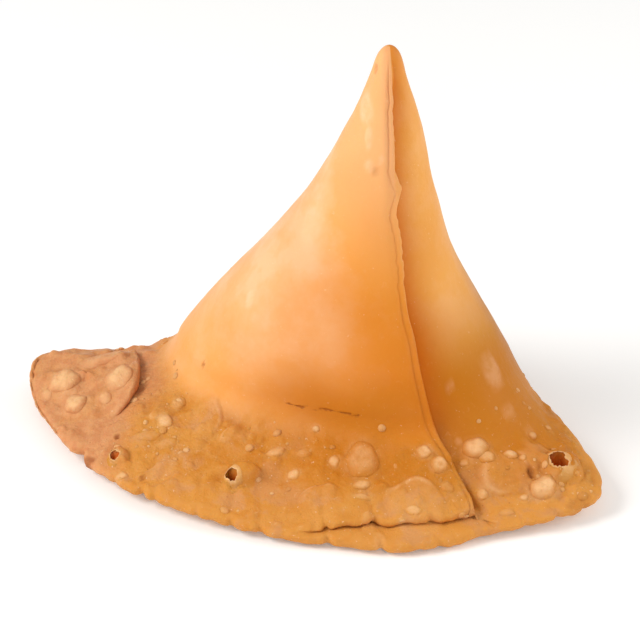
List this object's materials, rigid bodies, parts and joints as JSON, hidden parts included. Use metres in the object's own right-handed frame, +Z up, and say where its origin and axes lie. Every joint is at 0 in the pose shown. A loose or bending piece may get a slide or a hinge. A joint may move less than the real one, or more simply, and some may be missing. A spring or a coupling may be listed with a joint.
{
  "type": "samosa",
  "caption": "Fried samosa: a folded cone of blistered golden dough with an overlapping side seam, standing on a flat crimped brim.",
  "frame": {"origin": "middle of the footprint's bounding box, on the flat base", "axes": "+Z up to the tip, +X along the brim from its left horn to its right horn, -Y to the front, where the brim is widest"},
  "size_m": [0.1096, 0.066, 0.0765],
  "materials": {
    "crust": "fried wheat dough: satin, faintly oily, golden orange with paler blisters and browner creases"
  },
  "bodies": {
    "root": {"samosa": "crust"}
  },
  "joints": []
}
